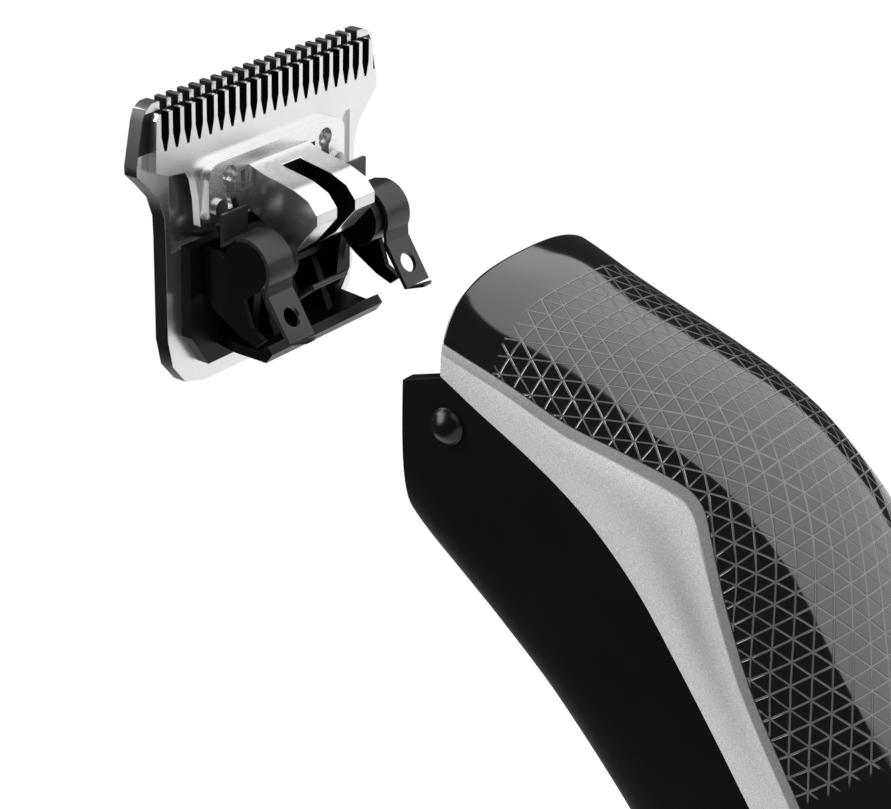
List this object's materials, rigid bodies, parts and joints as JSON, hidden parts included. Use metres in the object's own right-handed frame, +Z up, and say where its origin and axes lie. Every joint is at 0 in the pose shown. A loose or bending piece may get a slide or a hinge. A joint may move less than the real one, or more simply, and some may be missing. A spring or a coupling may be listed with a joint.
{
  "type": "hair clipper",
  "caption": "Cordless T-blade hair clipper with a bent grip, a battery and motor inside, and a pull-off head with clips and a reciprocating cutter",
  "frame": {"origin": "centre of the jack's axis on the flat tail", "axes": "+Z up the handle from tail to blade, -Y the side that the blade faces, +X across the blade"},
  "size_m": [0.04, 0.063, 0.1731],
  "materials": {
    "housing": "satin black",
    "cover": "smoked gloss with an engraved lattice",
    "trim": "satin silver with a fine grain",
    "inner_plastic": "plain moulded black",
    "steel": "ground blade steel",
    "spring_steel": "blackened spring steel",
    "black_nylon": "moulded glass-filled nylon",
    "drive_plastic": "pale silver moulding",
    "screw": "plated",
    "can": "drawn steel",
    "brass": "sintered",
    "cell": "shrink sleeve",
    "board": "solder mask",
    "lens": "frosted clear",
    "button": "turned"
  },
  "bodies": {
    "handle": {"lower_housing": "housing", "top_cover": "cover", "trim_left": "trim", "trim_right": "trim", "tail_cap": "inner_plastic", "charge_jack": "inner_plastic", "battery_cell": "cell", "battery_contacts": "can", "circuit_board": "board", "power_switch": "inner_plastic", "charge_light": "lens", "motor_can": "can", "motor_bush": "brass", "inner_frame": "inner_plastic", "screw_posts": "inner_plastic", "housing_screws": "screw", "side_pins": "inner_plastic", "neck_bulkhead": "inner_plastic"},
    "button": {"power_button": "button"},
    "rotor": {"motor_shaft": "can", "drive_cam": "inner_plastic"},
    "head": {"fixed_blade": "steel", "guide_bracket": "black_nylon", "blade_screws": "screw", "tension_spring": "spring_steel"},
    "cutter": {"moving_blade": "steel", "follower_plate": "steel", "drive_block": "drive_plastic", "follower_rivets": "screw"},
    "left_clip": {"clip_left": "spring_steel"},
    "right_clip": {"clip_right": "spring_steel"}
  },
  "joints": [
    {"name": "head_release", "type": "slide", "parent": "handle", "child": "head", "axis": [0, 0.6873, -0.7263], "range_m": [0, 0.02882]},
    {"name": "cutter_stroke", "type": "slide", "parent": "head", "child": "cutter", "axis": [1, 0, 0], "range_m": [-0.0005, 0.0005]},
    {"name": "motor_spin", "type": "hinge", "parent": "handle", "child": "rotor", "pos_m": [0, -0.0045, 0.11], "axis": [0, 0, 1], "continuous": true},
    {"name": "power_button_press", "type": "slide", "parent": "handle", "child": "button", "axis": [0, -1, 0], "range_m": [0, 0.0008], "stiffness_N_per_m": 1500},
    {"name": "left_clip_flex", "type": "hinge", "parent": "head", "child": "left_clip", "pos_m": [0, -0.02853, 0.15322], "axis": [1, 0, 0], "range_deg": [-6, 0], "stiffness_Nm_per_rad": 0.4},
    {"name": "right_clip_flex", "type": "hinge", "parent": "head", "child": "right_clip", "pos_m": [0, -0.02853, 0.15322], "axis": [1, 0, 0], "range_deg": [-6, 0], "stiffness_Nm_per_rad": 0.4}
  ]
}
